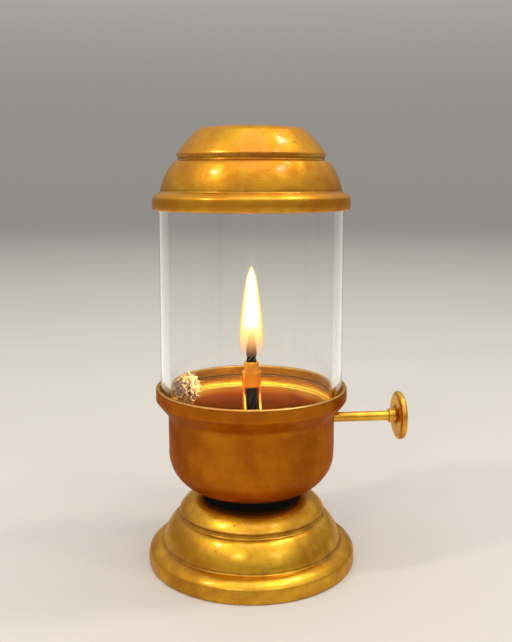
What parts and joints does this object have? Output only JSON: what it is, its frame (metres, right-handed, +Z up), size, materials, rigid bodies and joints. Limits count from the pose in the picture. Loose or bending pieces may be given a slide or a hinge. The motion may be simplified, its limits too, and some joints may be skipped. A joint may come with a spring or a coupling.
{
  "type": "akhand diya",
  "caption": "Brass oil lamp for a long-burning flame: stepped base, oil bowl, glass chimney, vented domed lid, and a wick raised by a side spindle with a disc knob.",
  "frame": {"origin": "on the lamp's axis at the plane of the foot ring that stands on the table", "axes": "+Z up along the lamp's axis, +X along the wick raiser's spindle towards its knob, -Y towards the side from which the raiser's wheel bites the wick"},
  "size_m": [0.1066, 0.0866, 0.18],
  "materials": {
    "brass_shell": "satin, hand polished",
    "brass_bowl": "satin, aged",
    "brass_turned": "turned",
    "steel": "plated",
    "rubber": "matt",
    "fibre": "matt",
    "charred_cotton": "burnt",
    "cotton": "spun",
    "chimney_glass": "clear"
  },
  "bodies": {
    "stand": {"base_shell": "brass_shell", "base_washer": "steel", "base_nut": "steel", "clamp_stud": "steel", "spacer_ring": "rubber", "oil_bowl": "brass_bowl", "foot_seal": "fibre", "burner_foot": "brass_turned", "burner_housing": "brass_turned", "wheel_bracket": "brass_turned", "wick_tube": "brass_turned", "wick_tail": "cotton", "wick_tuft": "cotton"},
    "chimney": {"glass_chimney": "chimney_glass"},
    "lid": {"lid_shell": "brass_shell"},
    "raiser": {"spindle": "brass_turned", "wick_wheel": "brass_turned", "knob": "brass_turned"},
    "wick": {"wick": "charred_cotton"}
  },
  "joints": [
    {"name": "glass_lift", "type": "slide", "parent": "stand", "child": "chimney", "axis": [0, 0, 1], "range_m": [0, 0.04]},
    {"name": "lid_lift", "type": "slide", "parent": "chimney", "child": "lid", "axis": [0, 0, 1], "range_m": [0, 0.04]},
    {"name": "spindle_turn", "type": "hinge", "parent": "stand", "child": "raiser", "pos_m": [0, -0.00595, 0.0614], "axis": [1, 0, 0], "range_deg": [-65, 130]},
    {"name": "wick_slide", "type": "slide", "parent": "stand", "child": "wick", "axis": [0, 0, 1], "range_m": [-0.0041, 0.0082], "deforming": ["wick_tail"]}
  ],
  "couplings": [
    {"joint": "wick_slide", "follows": "spindle_turn", "m_per_rad": 0.0036}
  ]
}
